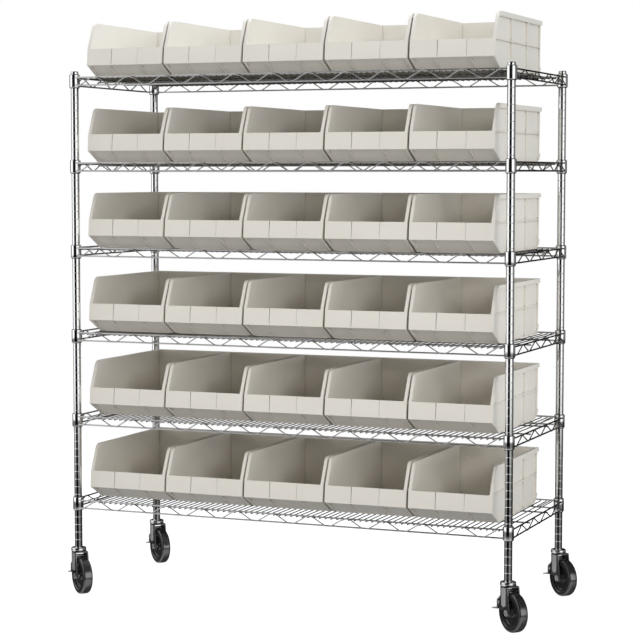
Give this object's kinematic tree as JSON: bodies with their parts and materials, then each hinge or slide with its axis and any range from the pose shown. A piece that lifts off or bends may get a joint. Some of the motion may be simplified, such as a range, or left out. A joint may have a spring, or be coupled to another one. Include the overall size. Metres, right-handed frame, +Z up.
{
  "type": "mobile bin shelving",
  "caption": "Chrome wire rack on braked swivel casters, with open-fronted plastic bins side by side on each shelf for sorting and moving small parts.",
  "frame": {"origin": "on the floor, under the middle of the rectangle of the four posts", "axes": "+Z up, +X to the right along the width as seen from the bins' open fronts, +Y to the back"},
  "size_m": [1.6316, 0.6953, 1.8891],
  "materials": {
    "chrome": "bright nickel-chrome plate over steel",
    "zinc_steel": "bright zinc plate over pressed steel",
    "sleeve_plastic": "black moulded plastic",
    "bin_plastic": "ivory moulded polypropylene, satin",
    "wheel_rubber": "black non-marking rubber tread on a black core"
  },
  "bodies": {
    "rack": {"post_front_left": "chrome", "post_front_right": "chrome", "post_rear_left": "chrome", "post_rear_right": "chrome", "post_caps": "chrome", "split_sleeves": "sleeve_plastic", "stem_sockets": "sleeve_plastic", "caster_stems": "zinc_steel", "shelf_1": "chrome", "shelf_2": "chrome", "shelf_3": "chrome", "shelf_4": "chrome", "shelf_5": "chrome", "shelf_6": "chrome"},
    "caster_front_left": {"caster_fork_front_left": "zinc_steel", "axle_bolt_front_left": "zinc_steel"},
    "wheel_front_left": {"caster_wheel_front_left": "wheel_rubber"},
    "pedal_front_left": {"brake_pedal_front_left": "zinc_steel"},
    "caster_front_right": {"caster_fork_front_right": "zinc_steel", "axle_bolt_front_right": "zinc_steel"},
    "wheel_front_right": {"caster_wheel_front_right": "wheel_rubber"},
    "pedal_front_right": {"brake_pedal_front_right": "zinc_steel"},
    "caster_rear_left": {"caster_fork_rear_left": "zinc_steel", "axle_bolt_rear_left": "zinc_steel"},
    "wheel_rear_left": {"caster_wheel_rear_left": "wheel_rubber"},
    "pedal_rear_left": {"brake_pedal_rear_left": "zinc_steel"},
    "caster_rear_right": {"caster_fork_rear_right": "zinc_steel", "axle_bolt_rear_right": "zinc_steel"},
    "wheel_rear_right": {"caster_wheel_rear_right": "wheel_rubber"},
    "pedal_rear_right": {"brake_pedal_rear_right": "zinc_steel"},
    "bin_1_1": {"bin_1_1": "bin_plastic"},
    "bin_1_2": {"bin_1_2": "bin_plastic"},
    "bin_1_3": {"bin_1_3": "bin_plastic"},
    "bin_1_4": {"bin_1_4": "bin_plastic"},
    "bin_1_5": {"bin_1_5": "bin_plastic"},
    "bin_2_1": {"bin_2_1": "bin_plastic"},
    "bin_2_2": {"bin_2_2": "bin_plastic"},
    "bin_2_3": {"bin_2_3": "bin_plastic"},
    "bin_2_4": {"bin_2_4": "bin_plastic"},
    "bin_2_5": {"bin_2_5": "bin_plastic"},
    "bin_3_1": {"bin_3_1": "bin_plastic"},
    "bin_3_2": {"bin_3_2": "bin_plastic"},
    "bin_3_3": {"bin_3_3": "bin_plastic"},
    "bin_3_4": {"bin_3_4": "bin_plastic"},
    "bin_3_5": {"bin_3_5": "bin_plastic"},
    "bin_4_1": {"bin_4_1": "bin_plastic"},
    "bin_4_2": {"bin_4_2": "bin_plastic"},
    "bin_4_3": {"bin_4_3": "bin_plastic"},
    "bin_4_4": {"bin_4_4": "bin_plastic"},
    "bin_4_5": {"bin_4_5": "bin_plastic"},
    "bin_5_1": {"bin_5_1": "bin_plastic"},
    "bin_5_2": {"bin_5_2": "bin_plastic"},
    "bin_5_3": {"bin_5_3": "bin_plastic"},
    "bin_5_4": {"bin_5_4": "bin_plastic"},
    "bin_5_5": {"bin_5_5": "bin_plastic"},
    "bin_6_1": {"bin_6_1": "bin_plastic"},
    "bin_6_2": {"bin_6_2": "bin_plastic"},
    "bin_6_3": {"bin_6_3": "bin_plastic"},
    "bin_6_4": {"bin_6_4": "bin_plastic"},
    "bin_6_5": {"bin_6_5": "bin_plastic"}
  },
  "joints": [
    {"name": "swivel_front_left", "type": "hinge", "parent": "rack", "child": "caster_front_left", "pos_m": [-0.7457, -0.2859, 0.1525], "axis": [0, 0, 1], "continuous": true},
    {"name": "wheel_spin_front_left", "type": "hinge", "parent": "caster_front_left", "child": "wheel_front_left", "pos_m": [-0.72269, -0.30514, 0.061], "axis": [0.6414, 0.7672, 0], "continuous": true},
    {"name": "brake_front_left", "type": "hinge", "parent": "caster_front_left", "child": "pedal_front_left", "pos_m": [-0.748, -0.28398, 0.1216], "axis": [-0.6414, -0.7672, 0], "range_deg": [0, 3]},
    {"name": "swivel_front_right", "type": "hinge", "parent": "rack", "child": "caster_front_right", "pos_m": [0.7457, -0.2859, 0.1525], "axis": [0, 0, 1], "continuous": true},
    {"name": "wheel_spin_front_right", "type": "hinge", "parent": "caster_front_right", "child": "wheel_front_right", "pos_m": [0.76872, -0.30514, 0.061], "axis": [0.6414, 0.7672, 0], "continuous": true},
    {"name": "brake_front_right", "type": "hinge", "parent": "caster_front_right", "child": "pedal_front_right", "pos_m": [0.7434, -0.28398, 0.1216], "axis": [-0.6414, -0.7672, 0], "range_deg": [0, 3]},
    {"name": "swivel_rear_left", "type": "hinge", "parent": "rack", "child": "caster_rear_left", "pos_m": [-0.7457, 0.2859, 0.1525], "axis": [0, 0, 1], "continuous": true},
    {"name": "wheel_spin_rear_left", "type": "hinge", "parent": "caster_rear_left", "child": "wheel_rear_left", "pos_m": [-0.72269, 0.26666, 0.061], "axis": [0.6414, 0.7672, 0], "continuous": true},
    {"name": "brake_rear_left", "type": "hinge", "parent": "caster_rear_left", "child": "pedal_rear_left", "pos_m": [-0.748, 0.28782, 0.1216], "axis": [-0.6414, -0.7672, 0], "range_deg": [0, 3]},
    {"name": "swivel_rear_right", "type": "hinge", "parent": "rack", "child": "caster_rear_right", "pos_m": [0.7457, 0.2859, 0.1525], "axis": [0, 0, 1], "continuous": true},
    {"name": "wheel_spin_rear_right", "type": "hinge", "parent": "caster_rear_right", "child": "wheel_rear_right", "pos_m": [0.76872, 0.26666, 0.061], "axis": [0.6414, 0.7672, 0], "continuous": true},
    {"name": "brake_rear_right", "type": "hinge", "parent": "caster_rear_right", "child": "pedal_rear_right", "pos_m": [0.7434, 0.28782, 0.1216], "axis": [-0.6414, -0.7672, 0], "range_deg": [0, 3]},
    {"name": "pull_bin_1_1", "type": "slide", "parent": "rack", "child": "bin_1_1", "axis": [0, -0.9976, 0.0698], "range_m": [0, 0.28]},
    {"name": "pull_bin_1_2", "type": "slide", "parent": "rack", "child": "bin_1_2", "axis": [0, -0.9976, 0.0698], "range_m": [0, 0.28]},
    {"name": "pull_bin_1_3", "type": "slide", "parent": "rack", "child": "bin_1_3", "axis": [0, -0.9976, 0.0698], "range_m": [0, 0.28]},
    {"name": "pull_bin_1_4", "type": "slide", "parent": "rack", "child": "bin_1_4", "axis": [0, -0.9976, 0.0698], "range_m": [0, 0.28]},
    {"name": "pull_bin_1_5", "type": "slide", "parent": "rack", "child": "bin_1_5", "axis": [0, -0.9976, 0.0698], "range_m": [0, 0.28]},
    {"name": "pull_bin_2_1", "type": "slide", "parent": "rack", "child": "bin_2_1", "axis": [0, -0.9976, 0.0698], "range_m": [0, 0.28]},
    {"name": "pull_bin_2_2", "type": "slide", "parent": "rack", "child": "bin_2_2", "axis": [0, -0.9976, 0.0698], "range_m": [0, 0.28]},
    {"name": "pull_bin_2_3", "type": "slide", "parent": "rack", "child": "bin_2_3", "axis": [0, -0.9976, 0.0698], "range_m": [0, 0.28]},
    {"name": "pull_bin_2_4", "type": "slide", "parent": "rack", "child": "bin_2_4", "axis": [0, -0.9976, 0.0698], "range_m": [0, 0.28]},
    {"name": "pull_bin_2_5", "type": "slide", "parent": "rack", "child": "bin_2_5", "axis": [0, -0.9976, 0.0698], "range_m": [0, 0.28]},
    {"name": "pull_bin_3_1", "type": "slide", "parent": "rack", "child": "bin_3_1", "axis": [0, -0.9976, 0.0698], "range_m": [0, 0.28]},
    {"name": "pull_bin_3_2", "type": "slide", "parent": "rack", "child": "bin_3_2", "axis": [0, -0.9976, 0.0698], "range_m": [0, 0.28]},
    {"name": "pull_bin_3_3", "type": "slide", "parent": "rack", "child": "bin_3_3", "axis": [0, -0.9976, 0.0698], "range_m": [0, 0.28]},
    {"name": "pull_bin_3_4", "type": "slide", "parent": "rack", "child": "bin_3_4", "axis": [0, -0.9976, 0.0698], "range_m": [0, 0.28]},
    {"name": "pull_bin_3_5", "type": "slide", "parent": "rack", "child": "bin_3_5", "axis": [0, -0.9976, 0.0698], "range_m": [0, 0.28]},
    {"name": "pull_bin_4_1", "type": "slide", "parent": "rack", "child": "bin_4_1", "axis": [0, -0.9976, 0.0698], "range_m": [0, 0.28]},
    {"name": "pull_bin_4_2", "type": "slide", "parent": "rack", "child": "bin_4_2", "axis": [0, -0.9976, 0.0698], "range_m": [0, 0.28]},
    {"name": "pull_bin_4_3", "type": "slide", "parent": "rack", "child": "bin_4_3", "axis": [0, -0.9976, 0.0698], "range_m": [0, 0.28]},
    {"name": "pull_bin_4_4", "type": "slide", "parent": "rack", "child": "bin_4_4", "axis": [0, -0.9976, 0.0698], "range_m": [0, 0.28]},
    {"name": "pull_bin_4_5", "type": "slide", "parent": "rack", "child": "bin_4_5", "axis": [0, -0.9976, 0.0698], "range_m": [0, 0.28]},
    {"name": "pull_bin_5_1", "type": "slide", "parent": "rack", "child": "bin_5_1", "axis": [0, -0.9976, 0.0698], "range_m": [0, 0.28]},
    {"name": "pull_bin_5_2", "type": "slide", "parent": "rack", "child": "bin_5_2", "axis": [0, -0.9976, 0.0698], "range_m": [0, 0.28]},
    {"name": "pull_bin_5_3", "type": "slide", "parent": "rack", "child": "bin_5_3", "axis": [0, -0.9976, 0.0698], "range_m": [0, 0.28]},
    {"name": "pull_bin_5_4", "type": "slide", "parent": "rack", "child": "bin_5_4", "axis": [0, -0.9976, 0.0698], "range_m": [0, 0.28]},
    {"name": "pull_bin_5_5", "type": "slide", "parent": "rack", "child": "bin_5_5", "axis": [0, -0.9976, 0.0698], "range_m": [0, 0.28]},
    {"name": "pull_bin_6_1", "type": "slide", "parent": "rack", "child": "bin_6_1", "axis": [0, -0.9976, 0.0698], "range_m": [0, 0.28]},
    {"name": "pull_bin_6_2", "type": "slide", "parent": "rack", "child": "bin_6_2", "axis": [0, -0.9976, 0.0698], "range_m": [0, 0.28]},
    {"name": "pull_bin_6_3", "type": "slide", "parent": "rack", "child": "bin_6_3", "axis": [0, -0.9976, 0.0698], "range_m": [0, 0.28]},
    {"name": "pull_bin_6_4", "type": "slide", "parent": "rack", "child": "bin_6_4", "axis": [0, -0.9976, 0.0698], "range_m": [0, 0.28]},
    {"name": "pull_bin_6_5", "type": "slide", "parent": "rack", "child": "bin_6_5", "axis": [0, -0.9976, 0.0698], "range_m": [0, 0.28]}
  ]
}
